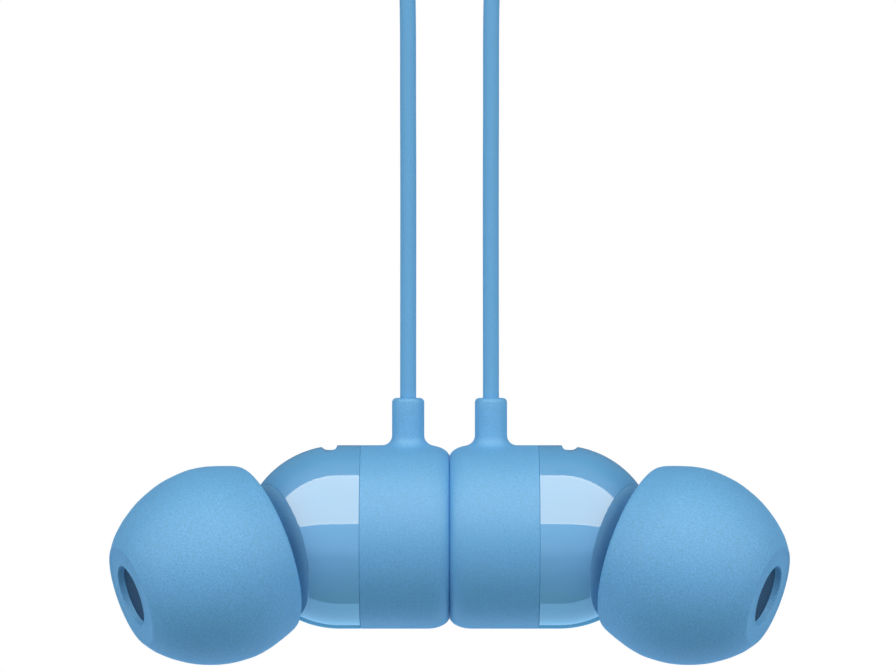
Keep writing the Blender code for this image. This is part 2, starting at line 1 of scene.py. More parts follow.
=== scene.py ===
"""The looks of the neckband earphones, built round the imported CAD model.

Lengths are millimetres here, and MM turns them into Blender's metres. A sided piece is written once, for
the wearer's left (+X), and its mirror image makes the right one. The bud's own frame has +X outward from the
clasp plane, as in the CAD, and the pods and the remote have +Z up and +Y towards the wearer.
"""

import json
import math

import bmesh
import bpy
from mathutils import Matrix, Vector


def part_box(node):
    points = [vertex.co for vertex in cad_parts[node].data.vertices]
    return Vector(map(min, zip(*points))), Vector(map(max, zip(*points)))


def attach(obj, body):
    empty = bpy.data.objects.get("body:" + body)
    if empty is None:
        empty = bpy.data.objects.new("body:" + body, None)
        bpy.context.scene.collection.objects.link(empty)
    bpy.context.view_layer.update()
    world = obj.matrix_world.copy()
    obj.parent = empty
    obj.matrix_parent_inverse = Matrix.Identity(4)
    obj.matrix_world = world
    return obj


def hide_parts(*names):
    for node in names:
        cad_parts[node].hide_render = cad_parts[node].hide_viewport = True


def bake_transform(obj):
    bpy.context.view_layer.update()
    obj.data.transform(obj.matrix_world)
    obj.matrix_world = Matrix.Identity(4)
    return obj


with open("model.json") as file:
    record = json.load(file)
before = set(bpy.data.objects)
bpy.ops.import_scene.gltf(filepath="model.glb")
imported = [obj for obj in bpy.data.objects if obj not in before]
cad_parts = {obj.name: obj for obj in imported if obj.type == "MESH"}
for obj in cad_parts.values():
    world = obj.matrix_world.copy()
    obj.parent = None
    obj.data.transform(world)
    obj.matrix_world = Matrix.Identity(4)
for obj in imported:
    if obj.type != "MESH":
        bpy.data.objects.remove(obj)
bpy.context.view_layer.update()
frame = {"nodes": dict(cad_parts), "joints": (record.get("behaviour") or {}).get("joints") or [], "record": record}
JOINTS = {joint["name"]: joint for joint in frame["joints"]}
MOUNTS = {mount["name"]: mount for mount in frame["record"]["mounts"]}
MM = 0.001
ROUND = 96  # sides of the buds' turned pieces
CORNER_STEPS = 9  # points on each corner of a rounded rectangle
SPAN_STEPS = 20  # points on each span of a route
CORD_STEP, BAND_STEP = 1.3, 1.6  # between the points of a cord's line and of the band's

# The bud, as in the CAD but for its edges, its flat, its vent's groove and its screen. Distances along its
# axis count from the clasp plane, where the magnets hold the two buds' faces together.
RADIUS = 6.2
WALL = 0.8
BACK_EDGE_LONG, BACK_EDGE_ACROSS = 1.5, 0.82
CREASE = [(5.5, 0.004), (5.56, 0.03)]  # radius, and distance from the clasp plane, where the faces part
SEAM_AT, SEAM_GAP, SEAM_CHAMFER = 6.0, 0.012, 0.02
DOME_FROM, DOME_LENGTH = 7.4, 6.55
LIP_RADIUS, LIP_LENGTH = 5.2, 1.0
STALK_AT, STALK_RADIUS, STALK_TOP, STALK_FILLET, STALK_BORE = 2.8, 1.09, 9.4, 0.66, 0.56
STALK_REACH, STALK_SIDES = STALK_RADIUS + STALK_FILLET, 48
FACE_DOWN, FACE_FORWARD, FACE_AT, FACE_CROWN, FACE_EASE = 13.0, 23.8, 11.0, 0.35, 0.03
VENT_AT, VENT_WIDTH, VENT_CORNER, VENT_DEPTH = 8.15, 1.145, 0.45, 0.37
NOZZLE_ROOT = Vector((10.87, -1.2, -0.1))
NOZZLE_RADIUS, NOZZLE_BORE, NOZZLE_FOOT, NOZZLE_END = 2.5, 1.75, 0.2, 10.95
NOZZLE_HOLE = NOZZLE_RADIUS + 0.12
SCREEN_RADIUS = 2.42
TIP_FRONT, TIP_HOLE, TIP_LIP = 11.66, 2.06, 0.46

# The cord's route, as in the CAD, from the pod's strain relief to the bud's stalk.
CORD_DIAMETER, CORD_INTO = 1.1, 1.6  # it goes this far into each relief and into the stalk
CORD_ROUTE = [
    (38.0, -115.5, -127.0),
    (36.6, -116.8, -137.0),
    (33.9, -118.0, -152.0),
    (29.3, -119.1, -171.0),
    (24.8, -119.7, -187.4),
    (17.8, -119.85, -212.5),
    (10.8, -120.0, -237.6),
    (6.6, -120.0, -254.5),
    (4.0, -120.0, -270.0),
    (2.95, -120.0, -282.0),
    (2.8, -120.0, -294.0),
    (2.8, -120.0, -311.8),
]
REMOTE_POINT = 5
REMOTE_SIZE = (8.6, 6.2, 38.0)
REMOTE_WALL, REMOTE_CORNER, REMOTE_EDGE = 0.9, 2.7, 0.9
REMOTE_RELIEF = 7.0
KEY_SIZE, KEY_CORNER, KEY_PITCH, KEY_PROUD = (4.8, 6.6), 1.85, 9.6, 0.4
MICROPHONE_AT = -15.5

# The pods, as in the CAD.
POD_SIZE = (13.0, 10.0, 44.0)
POD_WALL, POD_CORNER, POD_EDGE, POD_TOP_SHARE = 1.0, 3.4, 1.3, 0.86
SHELL_GAP = 0.1  # between the two shells of a pod or of the remote
FERRULE_LENGTH = 9.0
RELIEF_LENGTH, RELIEF_FORWARD = 8.0, 2.9
POWER_KEY_AT, POWER_KEY_SIZE, LED_AT = 6.0, (5.2, 8.4), -3.0
PORT_SIZE, PORT_BACK = (8.94, 3.2), 1.9
BEZEL_POINT = Vector((5.03, 1.9, -22.6))  # where the charge_port_face mount is, in the pod's frame

# The neckband's centre line, as in the CAD.
BAND_RADIUS = 2.7
BAND_ROUTE = [
    (0.0, BAND_RADIUS, 0.0),
    (31.0, -3.6, -1.2),
    (55.0, -22.0, -6.0),
    (67.0, -50.0, -15.0),
    (64.0, -76.0, -26.0),
    (56.0, -93.5, -39.0),
]
BAND_STRAIGHT = 14.0
FLEX_AT, FLEX_REACH = 42.0, 14.0  # the flex hinge, and a reach to each side of it
CORD_BEND = 14.0  # a length along a cord, below its pod

CAMERA_LENS, CAMERA_FROM_BUD = 178.2, Vector((-0.105, -300, 13.585))
LIGHTS_AWAY, LIGHTS_STEP, LIGHTS_COLUMNS = 3.0, 3, 48  # metres, degrees, and columns in each panel's mesh
WORLD_STRENGTH = 0.08
FLOOR_AT, FLOOR_SIZE, SURROUND_RADIUS = -0.60, 14, 8.0  # metres

low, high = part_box("left_clasp_magnet")
BUD = Vector((0, (low.y + high.y) / 2, (low.z + high.z) / 2))


# ---------------------------------------------------------------- lines and rings


def smooth_line(route, before=None, per_span=SPAN_STEPS):
    """Points on the Catmull-Rom curve through the route's own points. before steers its start."""
    points = [Vector(p) for p in route]
    points = [Vector(before) if before else 2 * points[0] - points[1], *points, 2 * points[-1] - points[-2]]
    line = []
    for last, start, end, after in zip(points, points[1:], points[2:], points[3:]):
        for k in range(per_span):
            t = k / per_span
            line.append(0.5 * (2 * start + (end - last) * t
                               + (2 * last - 5 * start + 4 * end - after) * t * t
                               + (3 * start - last - 3 * end + after) * t ** 3))
    line.append(points[-2])
    return line


def length_of(line):
    return sum((b - a).length for a, b in zip(line, line[1:]))


def point_at(line, distance):
    """The point this far along the line, and the line's direction there."""
    for a, b in zip(line, line[1:]):
        step = (b - a).length
        if distance <= step:
            return a.lerp(b, distance / step), (b - a).normalized()
        distance -= step
    return line[-1], (line[-1] - line[-2]).normalized()


def stretch(line, start, end, spacing):
    count = max(2, round((end - start) / spacing) + 1)
    return [point_at(line, start + (end - start) * k / (count - 1))[0] for k in range(count)]


def arc(centre, across, along, start, end, count):
    """(across, along) points on an ellipse's arc. Angles are degrees from the across axis towards +along."""
    angles = [math.radians(start + (end - start) * k / (count - 1)) for k in range(count)]
    return [(centre[0] + across * math.cos(a), centre[1] + along * math.sin(a)) for a in angles]


def curved(points, per_span):
    """A smooth profile through a few (radius, height) points."""
    line = smooth_line([(r, h, 0) for r, h in points], per_span=per_span)
    return [(p.x, p.y) for p in line]


def circle(radius, height, steps=ROUND):
    turns = [2 * math.pi * k / steps for k in range(steps)]
    return [Vector((radius * math.cos(a), radius * math.sin(a), height)) for a in turns]


def outline(width, height, corner, depth, shrink=1.0):
    """A rounded rectangle in the plane z = depth, as one ring of points."""
    corner = min(corner, width / 2 - 0.01, height / 2 - 0.01)
    ring = []
    for k, (sx, sy) in enumerate(((1, 1), (-1, 1), (-1, -1), (1, -1))):
        centre = Vector((sx * (width / 2 - corner), sy * (height / 2 - corner), depth))
        for step in range(CORNER_STEPS):
            a = math.pi / 2 * (k + step / (CORNER_STEPS - 1))
            ring.append(centre + corner * Vector((math.cos(a), math.sin(a), 0)))
    return [Vector((p.x * shrink, p.y * shrink, p.z)) for p in ring]


def lofted(rings, wrap=False):
    """A mesh through rings of points of one length, capped at both ends. wrap joins the ends instead."""
    mesh = bmesh.new()
    made = [[mesh.verts.new(p * MM) for p in ring] for ring in rings]
    pairs = list(zip(made, made[1:]))
    if wrap:
        pairs.append((made[-1], made[0]))
    for lower, upper in pairs:
        for k in range(len(lower)):
            after = (k + 1) % len(lower)
            mesh.faces.new((lower[k], lower[after], upper[after], upper[k]))
    if not wrap:
        mesh.faces.new(made[0])
        mesh.faces.new(made[-1])
    bmesh.ops.recalc_face_normals(mesh, faces=mesh.faces)
    return mesh


def turned(profile, steps=ROUND):
    """A closed loop of (radius, height) points, turned about Z."""
    return lofted([circle(r, h, steps) for r, h in profile], wrap=True)


def tube(line, radius, sides):
    """A capped round tube along the line."""
    forward = (line[1] - line[0]).normalized()
    across = forward.orthogonal().normalized()
    turns = [2 * math.pi * s / sides for s in range(sides)]
    rings = []
    for k, point in enumerate(line):
        direction = (line[min(k + 1, len(line) - 1)] - line[max(k - 1, 0)]).normalized()
        across = (across - direction * across.dot(direction)).normalized()
        side = direction.cross(across)
        rings.append([point + radius * (math.cos(a) * across + math.sin(a) * side) for a in turns])
    return lofted(rings)


# ---------------------------------------------------------------- objects


def added(name, data):
    made = bpy.data.objects.new(name, data)
    bpy.context.scene.collection.objects.link(made)
    return made


def smoothed(name, mesh, sharp):
    """An object with this mesh, smooth but for edges sharper than this angle."""
    mesh.shade_smooth()
    mesh.set_sharp_from_angle(angle=math.radians(sharp))
    return added(name, mesh)


def shaded(name, bm, sharp=40):
    """A smoothed object from a bmesh in metres."""
    mesh = bpy.data.meshes.new(name)
    bm.to_mesh(mesh)
    bm.free()
    return smoothed(name, mesh, sharp)


def shift(by):
    """The matrix that moves a shape in metres by these millimetres."""
    return Matrix.Translation(Vector(by) * MM)


def moved(bm, matrix):
    bmesh.ops.transform(bm, matrix=matrix, verts=bm.verts)
    return bm


def cut(name, bm, cutters, sharp=40, bevel=0.0):
    """An object from bm less each cutter, with its cut edges eased by the bevel, in millimetres."""
    body = shaded(name, bm)
    others = [shaded(name + "_cutter", cutter) for cutter in cutters]
    for other in others:
        modifier = body.modifiers.new("cut", "BOOLEAN")
        modifier.operation = "DIFFERENCE"
        modifier.solver = "EXACT"
        modifier.object = other
    if bevel:
        weld = body.modifiers.new("weld", "WELD")
        weld.merge_threshold = 0.01 * MM
        ease = body.modifiers.new("ease", "BEVEL")
        ease.width = bevel * MM
        ease.segments = 2
        ease.limit_method = "ANGLE"
        ease.angle_limit = math.radians(50)
    bpy.context.view_layer.update()
    graph = bpy.context.evaluated_depsgraph_get()
    mesh = bpy.data.meshes.new_from_object(body.evaluated_get(graph))
    for extra in (body, *others):
        bpy.data.objects.remove(extra, do_unlink=True)
    made = smoothed(name, mesh, sharp)
    mesh.name = name
    return made


def finished(piece, finish, body, slot, *nodes):
    """Gives a piece its material, its body and the CAD nodes that it stands for."""
    piece.data.materials.clear()
    piece.data.materials.append(finish)
    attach(piece, body)
    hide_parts(*nodes)
    return piece


def mirror_image(piece, name):
    """The piece's twin on the other side of the plane x = 0."""
    mesh = piece.data.copy()
    mesh.name = name
    mesh.transform(Matrix.Diagonal((-1, 1, 1, 1)))
    mesh.flip_normals()
    return added(name, mesh)


def both_sides(piece, finish, body, slot, node, name):
    """Finishes the left piece and its twin. They replace each side's node and ride on each side's body."""
    twin = mirror_image(piece, "right_" + name)
    piece.name = "left_" + name
    for side, made in (("left", piece), ("right", twin)):
        finished(made, finish, f"{side}_{body}", slot, f"{side}_{node}")


# ---------------------------------------------------------------- materials


def shader_of(name):
    made = bpy.data.materials.new(name)
    made.use_nodes = True
    return made, made.node_tree, made.node_tree.nodes["Principled BSDF"]


def grain(tree, size, detail=3.0, stretch_z=1.0):
    """Noise whose grains are this many millimetres across, in the object's own coordinates."""
    place = tree.nodes.new("ShaderNodeTexCoord")
    scale = tree.nodes.new("ShaderNodeMapping")
    scale.inputs["Scale"].default_value = (1, 1, stretch_z)
    noise = tree.nodes.new("ShaderNodeTexNoise")
    noise.inputs["Scale"].default_value = 1 / (size * MM)
    noise.inputs["Detail"].default_value = detail
    tree.links.new(place.outputs["Object"], scale.inputs["Vector"])
    tree.links.new(scale.outputs["Vector"], noise.inputs["Vector"])
    return noise.outputs["Fac"]


def spread_of(tree, value, low_end, high_end):
    """The noise's middle stretched over this range."""
    spread = tree.nodes.new("ShaderNodeMapRange")
    spread.inputs["From Min"].default_value = 0.3
    spread.inputs["From Max"].default_value = 0.7
    spread.inputs["To Min"].default_value = low_end
    spread.inputs["To Max"].default_value = high_end
    tree.links.new(value, spread.inputs["Value"])
    return spread.outputs["Result"]


def mixed(tree, share, first, second):
    """The first colour where share is 0 and the second where it is 1."""
    mix = tree.nodes.new("ShaderNodeMix")
    mix.data_type = "RGBA"
    mix.inputs["A"].default_value = (*first, 1)
    mix.inputs["B"].default_value = (*second, 1)
    tree.links.new(share, mix.inputs["Factor"])
    return mix.outputs["Result"]


def tinted(tree, value, colour, amount):
    """The colour, darker and lighter by this amount with the value."""
    darker, lighter = [c * (1 - amount) for c in colour], [min(1.0, c * (1 + amount)) for c in colour]
    return mixed(tree, spread_of(tree, value, 0.0, 1.0), darker, lighter)


def bumped(tree, shader, value, depth):
    """Relief of this depth, in millimetres."""
    bump = tree.nodes.new("ShaderNodeBump")
    bump.inputs["Strength"].default_value = 1.0
    bump.inputs["Distance"].default_value = depth * MM
    tree.links.new(value, bump.inputs["Height"])
    tree.links.new(bump.outputs["Normal"], shader.inputs["Normal"])


def soft_finish(name, colour, roughness, grain_size, tint, relief, specular=0.5):
    """Moulded plastic or silicone with a fine, even grain."""
    made, tree, shader = shader_of(name)
    fine = grain(tree, grain_size)
    tree.links.new(tinted(tree, fine, colour, tint), shader.inputs["Base Color"])
    broad = grain(tree, 6.0, detail=2.0)
    tree.links.new(spread_of(tree, broad, roughness - 0.04, roughness + 0.04), shader.inputs["Roughness"])
    shader.inputs["Specular IOR Level"].default_value = specular
    bumped(tree, shader, fine, relief)
    return made


def gloss_finish(name, colour, roughness):
    """Polished plastic, with a faint unevenness in its gloss."""
    made, tree, shader = shader_of(name)
    broad = grain(tree, 3.0, detail=2.0)
    tree.links.new(tinted(tree, broad, colour, 0.02), shader.inputs["Base Color"])
    tree.links.new(spread_of(tree, broad, roughness * 0.8, roughness * 1.2), shader.inputs["Roughness"])
    shader.inputs["Specular IOR Level"].default_value = 1.0
    return made


def metal_finish(name, colour, roughness, stroke):
    """Metal with fine lines drawn along Z."""
    made, tree, shader = shader_of(name)
    lines = grain(tree, stroke, stretch_z=0.05)
    tree.links.new(tinted(tree, lines, colour, 0.08), shader.inputs["Base Color"])
    tree.links.new(spread_of(tree, lines, roughness - 0.06, roughness + 0.06), shader.inputs["Roughness"])
    shader.inputs["Metallic"].default_value = 1.0
    bumped(tree, shader, lines, 0.01)
    return made


def mesh_finish(name, colour, pitch):
    """A woven screen: fine crossed wires, with painted shade in the openings between them, which are near black
    for the dark inside seen through them.
    """
    made, tree, shader = shader_of(name)
    place = tree.nodes.new("ShaderNodeTexCoord")
    weave = tree.nodes.new("ShaderNodeTexVoronoi")
    weave.inputs["Scale"].default_value = 1 / (pitch * MM)
    weave.inputs["Randomness"].default_value = 0.0
    tree.links.new(place.outputs["Object"], weave.inputs["Vector"])
    share = tree.nodes.new("ShaderNodeMapRange")
    share.inputs["From Min"].default_value = 0.25
    share.inputs["From Max"].default_value = 0.5
    tree.links.new(weave.outputs["Distance"], share.inputs["Value"])
    # painted shade: the openings are near black, for the dark inside behind the screen
    shade = mixed(tree, share.outputs["Result"], (0.003, 0.005, 0.008), colour)
    tree.links.new(shade, shader.inputs["Base Color"])
    shader.inputs["Specular IOR Level"].default_value = 0.1
    shader.inputs["Roughness"].default_value = 0.6
    bumped(tree, shader, share.outputs["Result"], 0.02)
    return made


def board_finish(name):
    """Green solder mask, with the copper tracks under it showing as paler lines."""
    made, tree, shader = shader_of(name)
    place = tree.nodes.new("ShaderNodeTexCoord")
    tracks = tree.nodes.new("ShaderNodeTexBrick")
    tracks.inputs["Scale"].default_value = 1 / (1.6 * MM)
    tracks.inputs["Color1"].default_value = (0.01, 0.12, 0.05, 1)
    tracks.inputs["Color2"].default_value = (0.014, 0.14, 0.06, 1)
    tracks.inputs["Mortar"].default_value = (0.04, 0.26, 0.1, 1)
    tracks.inputs["Mortar Size"].default_value = 0.05
    tree.links.new(place.outputs["Object"], tracks.inputs["Vector"])
    tree.links.new(tracks.outputs["Color"], shader.inputs["Base Color"])
    shader.inputs["Roughness"].default_value = 0.35
    return made


def lens_finish(name):
    made, tree, shader = shader_of(name)
    cloud = grain(tree, 0.4)
    tree.links.new(tinted(tree, cloud, (0.8, 0.88, 0.95), 0.05), shader.inputs["Base Color"])
    shader.inputs["Roughness"].default_value = 0.25
    shader.inputs["Transmission Weight"].default_value = 0.4
    return made


BLUE = (0.138, 0.420, 0.730)
SOFT_TOUCH = soft_finish("soft_touch", BLUE, 0.42, 0.10, 0.11, 0.016, specular=0.24)
TIP = soft_finish("tip_silicone", BLUE, 0.52, 0.10, 0.16, 0.022, specular=0.20)
BAND = soft_finish("band_silicone", BLUE, 0.62, 0.20, 0.03, 0.003, specular=0.15)
CORD = soft_finish("cord_jacket", BLUE, 0.50, 0.12, 0.04, 0.003, specular=0.15)
# The nozzle and the flat round it are a lighter blue than the housing: painted light, standing in for the light
# that the tip's shade keeps off the flat.
COLLAR_PAINTED_LIGHT = soft_finish("nozzle_plastic_painted_light", (0.24, 0.56, 0.82), 0.45, 0.11, 0.08, 0.010, specular=0.15)
SHELL = soft_finish("shell_plastic", BLUE, 0.42, 0.16, 0.04, 0.003, specular=0.24)
GLOSS = gloss_finish("gloss_blue", BLUE, 0.05)
DARK = soft_finish("dark_plastic", (0.020, 0.035, 0.060), 0.42, 0.15, 0.10, 0.010)
STEEL = metal_finish("steel", (0.62, 0.63, 0.65), 0.30, 0.06)
WIRE = metal_finish("memory_wire", (0.55, 0.56, 0.58), 0.34, 0.05)
NICKEL = metal_finish("nickel_plate", (0.52, 0.53, 0.55), 0.24, 0.08)
FILM = soft_finish("diaphragm_film", (0.55, 0.45, 0.25), 0.30, 0.30, 0.05, 0.004)
FOIL = metal_finish("battery_foil", (0.50, 0.52, 0.55), 0.38, 0.20)
SCREEN = mesh_finish("acoustic_screen", (0.030, 0.080, 0.160), 0.12)
BOARD = board_finish("circuit_board")
LENS = lens_finish("led_lens")
MARK = soft_finish("key_mark", (0.42, 0.62, 0.80), 0.45, 0.10, 0.04, 0.004)


# ---------------------------------------------------------------- the buds


def aim(down, forward):
    """The direction outward from the bud, turned down and forward by these degrees."""
    down, forward = math.radians(down), math.radians(forward)
    level = math.cos(forward)
    return Vector((level * math.cos(down), -math.sin(forward), -level * math.sin(down)))


AXIS_TURN = Matrix.Rotation(math.pi / 2, 4, "Y")  # takes a turned piece's Z to the bud's outward X
BUD_PLACE = Matrix.Translation(BUD)
NOZZLE_AXIS = Vector(JOINTS["left_tip_pull"]["axis"]).normalized()
NOZZLE_PLACE = (BUD_PLACE @ shift(NOZZLE_ROOT)
                @ NOZZLE_AXIS.to_track_quat("Z", "Y").to_matrix().to_4x4())


def cup_radius(out):
    """The rear housing's outer radius this far out from the clasp plane."""
    if out >= BACK_EDGE_LONG:
        return RADIUS
    share = min(1.0, (BACK_EDGE_LONG - out) / BACK_EDGE_LONG)
    return RADIUS - BACK_EDGE_ACROSS * (1 - math.sqrt(1 - share * share))


def stalk_rings():
    """Rings from the foot of the stalk's fillet, which follows the cup, over its top and down its bore."""
    turns = [2 * math.pi * k / STALK_SIDES for k in range(STALK_SIDES)]

    def ring(radius, lift, flat=None):
        """A ring round the stalk's axis, lift above the cup's surface, or level at the height flat."""
        made = []
        for a in turns:
            x, y = STALK_AT + radius * math.cos(a), radius * math.sin(a)
            z = math.sqrt(cup_radius(x) ** 2 - y * y) + lift if flat is None else flat
            made.append(Vector((x, y, z)))
        return made

    rings = []
    for k in range(9):
        a = math.pi / 2 * k / 8
        rings.append(ring(STALK_REACH - STALK_FILLET * math.sin(a), STALK_FILLET * (1 - math.cos(a))))
    shoulder = arc((STALK_RADIUS - 0.3, STALK_TOP - 0.3), 0.3, 0.3, 0, 90, 6)
    upper = [(STALK_RADIUS, 7.6), (STALK_RADIUS, 8.4), *shoulder, (STALK_BORE + 0.05, STALK_TOP),
             (STALK_BORE, STALK_TOP - 0.05), (STALK_BORE, STALK_TOP - 2.4)]
    return rings + [ring(r, 0, flat=h) for r, h in upper]


def rear_housing():
    """The cup with its clasp face, and the stalk, whose foot is joined to a hole in the cup's side."""
    rim, inner = SEAM_AT - SEAM_GAP / 2, RADIUS - WALL
    edge = arc((RADIUS - BACK_EDGE_ACROSS, BACK_EDGE_LONG), BACK_EDGE_ACROSS, BACK_EDGE_LONG, -90, 0, 12)
    edge = [(r, u) for r, u in edge if r > CREASE[-1][0] + 0.02]
    side = [(RADIUS, BACK_EDGE_LONG + 0.3 * k) for k in range(1, 15)]
    profile = [(1.0, 0.0), (2.5, 0.0), (4.0, 0.0), (5.0, 0.0), *CREASE, *edge, *side,
               (RADIUS, rim - SEAM_CHAMFER), (RADIUS - SEAM_CHAMFER, rim), (inner, rim), (inner, WALL + 0.6),
               (inner - 0.6, WALL), (2.5, WALL), (1.0, WALL)]
    cup = moved(lofted([circle(r, h) for r, h in profile]), AXIS_TURN)

    top = [f for f in cup.faces
           if min(math.hypot(v.co.x / MM - STALK_AT, v.co.y / MM) for v in f.verts) < STALK_REACH + 0.15
           and all(v.co.z > 0 and v.co.yz.length > (inner + 0.1) * MM for v in f.verts)]
    bmesh.ops.delete(cup, geom=top, context="FACES")
    rough = [e for e in cup.edges if e.is_boundary]
    made = [[cup.verts.new(p * MM) for p in points] for points in stalk_rings()]
    for lower, upper in zip(made, made[1:]):
        for k in range(STALK_SIDES):
            after = (k + 1) % STALK_SIDES
            cup.faces.new((lower[k], lower[after], upper[after], upper[k]))
    cup.faces.new(made[-1])
    foot = [cup.edges.get((made[0][k], made[0][(k + 1) % STALK_SIDES])) for k in range(STALK_SIDES)]
    bmesh.ops.bridge_loops(cup, edges=rough + foot)
    bmesh.ops.recalc_face_normals(cup, faces=cup.faces)
    piece = shaded("rear_housing", moved(cup, BUD_PLACE))
    both_sides(piece, SOFT_TOUCH, "bud", "soft_touch_plastic", "rear_housing", "rear_shell")


def across_flat(edge, inward, face_at, crown):
    """Rings from the flat's edge to the nozzle's hole, which rise by the crown on the way."""
    facing = aim(FACE_DOWN, FACE_FORWARD)
    share = (face_at - facing.dot(NOZZLE_ROOT)) / facing.dot(NOZZLE_AXIS)
    hole_centre = NOZZLE_ROOT + NOZZLE_AXIS * share
    mouth = []
    for w in inward:
        flat_way = w - facing * w.dot(facing)
        way = flat_way / (flat_way - NOZZLE_AXIS * flat_way.dot(NOZZLE_AXIS)).length
        mouth.append(hole_centre - way * NOZZLE_HOLE)
    rings = []
    for t in (0.03, 0.12, 0.25, 0.4, 0.6, 0.8, 1.0):
        rise = facing * crown * (1 - (1 - t) ** 2)
        rings.append([a.lerp(b, t) + rise for a, b in zip(edge, mouth)])
    return rings


def dome_rings(radius, length, rim, face_at, ease, crown=0.0):
    """Rings from the seam over the dome to its flat, and across the flat to the nozzle's hole.

    On the unit sphere that the ellipsoid is stretched from, the flat cuts a circle. Each point of the equator
    has its partner on that circle, and the rings lie on the great circles between them.
    """
    facing = aim(FACE_DOWN, FACE_FORWARD)
    stretch_by = Vector((length, radius, radius))
    normal = Vector([n * s for n, s in zip(facing, stretch_by)])
    height = (face_at - facing.x * DOME_FROM) / normal.length
    normal.normalize()
    spread = math.acos(height)
    turns = [2 * math.pi * k / ROUND for k in range(ROUND)]
    equator = [Vector((0, math.cos(a), math.sin(a))) for a in turns]
    flat_side = [(e - normal * e.dot(normal)).normalized() for e in equator]

    def on_dome(share, open_by=0.0):
        """The ring at this share of the way from the equator to the flat, whose circle open_by widens."""
        ring = []
        for e, f in zip(equator, flat_side):
            end = normal * math.cos(spread + open_by) + f * math.sin(spread + open_by)
            p = e.slerp(end, share)
            ring.append(Vector((DOME_FROM + p.x * stretch_by.x, p.y * stretch_by.y, p.z * stretch_by.z)))
        return ring

    ease_angle = ease / radius
    rings = [[Vector((u, radius * e.y, radius * e.z)) for e in equator] for u in rim]
    rings += [on_dome(k / 24, ease_angle) for k in range(25)]
    corner = on_dome(1.0)
    middle = sum(corner, Vector()) / ROUND
    inward = [(middle - c).normalized() for c in corner]
    start, end = rings[-1], [c + ease * w for c, w in zip(corner, inward)]
    for t in (0.25, 0.5, 0.75, 1.0):
        rings.append([(1 - t) ** 2 * a + 2 * t * (1 - t) * c + t * t * b
                      for a, c, b in zip(start, corner, end)])
    return rings + across_flat(end, inward, face_at, crown)


def front_housing():
    """The glossy dome, with its oblique flat round the nozzle and the vent's groove across its top."""
    rim = SEAM_AT + SEAM_GAP / 2
    outer = dome_rings(RADIUS, DOME_LENGTH, [rim + SEAM_CHAMFER, rim + 0.45, rim + 0.85], FACE_AT, FACE_EASE,
                       FACE_CROWN)
    inner = dome_rings(RADIUS - WALL, DOME_LENGTH - WALL, [rim + 0.6], FACE_AT - WALL, 0.05)
    turns = [2 * math.pi * k / ROUND for k in range(ROUND)]
    lip = [(LIP_RADIUS - 0.6, rim), (LIP_RADIUS - 0.6, rim - LIP_LENGTH), (LIP_RADIUS, rim - LIP_LENGTH),
           (LIP_RADIUS, rim), (RADIUS - SEAM_CHAMFER, rim)]
    lip = [[Vector((out, radius * math.cos(a), radius * math.sin(a))) for a in turns] for radius, out in lip]
    shell = lofted([*outer, *reversed(inner), *lip], wrap=True)
    groove = moved(lofted([outline(VENT_WIDTH, 2.0, VENT_CORNER, h) for h in (-4.0, 4.0)]),
                   shift((VENT_AT, 0, RADIUS + 1.0 - VENT_DEPTH))
                   @ Matrix.Rotation(math.pi / 2, 4, "X"))
    hole = moved(lofted([circle(0.3, h, 24) for h in (-2.0, 2.0)]),
                 shift((VENT_AT, 0, RADIUS - 0.5)))
    piece = cut("front_housing", shell, [groove, hole], sharp=30)
    piece.data.transform(BUD_PLACE)
    both_sides(piece, GLOSS, "bud", "gloss_plastic", "front_housing", "front_shell")
    facing = aim(FACE_DOWN, FACE_FORWARD)
    # The flat takes the nozzle's material: matt, and a lighter blue that is painted light for the shade the tip
    # casts on the flat.
    for side, way in (("left", 1), ("right", -1)):  # the flat is matt, as the nozzle is
        mesh = bpy.data.objects[side + "_front_shell"].data
        mesh.materials.append(COLLAR_PAINTED_LIGHT)
        out = Vector((facing.x * way, facing.y, facing.z))
        for face in mesh.polygons:
            centre = face.center / MM - BUD / MM
            if centre.dot(out) > FACE_AT + 0.005:
                face.material_index = 1


def nozzle():
    """The sound tube with its barb, and the round screen across its end."""
    barb, seat = NOZZLE_RADIUS + 0.15, NOZZLE_END - 0.5
    profile = [
        (NOZZLE_BORE + 0.5, NOZZLE_END), (NOZZLE_RADIUS - 0.1, NOZZLE_END),
        (NOZZLE_RADIUS, NOZZLE_END - 0.08), (barb - 0.03, NOZZLE_END - 0.62), (barb, NOZZLE_END - 0.7),
        (barb, NOZZLE_END - 0.9), (NOZZLE_RADIUS, NOZZLE_END - 1.2), (NOZZLE_RADIUS, 5.0),
        (NOZZLE_RADIUS, NOZZLE_FOOT), (NOZZLE_BORE, NOZZLE_FOOT), (NOZZLE_BORE, 5.0), (NOZZLE_BORE, seat),
        (NOZZLE_BORE + 0.5, seat),
    ]
    piece = shaded("nozzle", moved(turned(profile, 64), NOZZLE_PLACE))
    # The nozzle's lighter blue is painted light, like the flat's.
    both_sides(piece, COLLAR_PAINTED_LIGHT, "bud", "soft_touch_plastic", "nozzle", "sound_tube")
    top = TIP_FRONT - TIP_LIP - 0.04
    disc = [(SCREEN_RADIUS - 0.05, top), (SCREEN_RADIUS, top - 0.05), (SCREEN_RADIUS, NOZZLE_END + 0.01),
            (NOZZLE_BORE + 0.35, NOZZLE_END + 0.01), (NOZZLE_BORE + 0.35, NOZZLE_END - 0.15)]
    piece = shaded("screen", moved(lofted([circle(r, h, 64) for r, h in disc]), NOZZLE_PLACE))
    both_sides(piece, SCREEN, "bud", "acoustic_mesh", "nozzle_mesh", "sound_screen")


